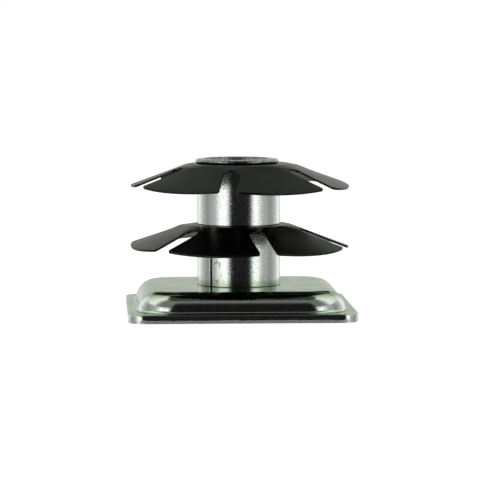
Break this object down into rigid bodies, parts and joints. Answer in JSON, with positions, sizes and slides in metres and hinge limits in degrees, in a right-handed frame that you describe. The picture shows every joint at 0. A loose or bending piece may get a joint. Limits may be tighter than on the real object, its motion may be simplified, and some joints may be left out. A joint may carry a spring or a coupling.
{
  "type": "threaded caster insert",
  "caption": "Threaded insert for a square tube end: a drawn steel cap, rolled spacers and slotted spring stars held on a flared bushing.",
  "frame": {"origin": "centre of the flange's underside", "axes": "+Z along the threaded bore, into the tube; -Y is the front of the picture"},
  "size_m": [0.0508, 0.0508, 0.0349],
  "materials": {
    "zinc_plate": "bright zinc plating on drawn sheet, faintly iridescent",
    "zinc_bushing": "zinc plating on turned and flared steel",
    "zinc_sleeve": "bright zinc plating on rolled strip, fine speckle",
    "black_spring_steel": "hardened and oiled black oxide, satin"
  },
  "bodies": {
    "root": {"base_plate": "zinc_plate", "threaded_bushing": "zinc_bushing", "lower_spacer": "zinc_sleeve", "lower_star": "black_spring_steel", "upper_spacer": "zinc_sleeve", "upper_star": "black_spring_steel"}
  },
  "joints": []
}
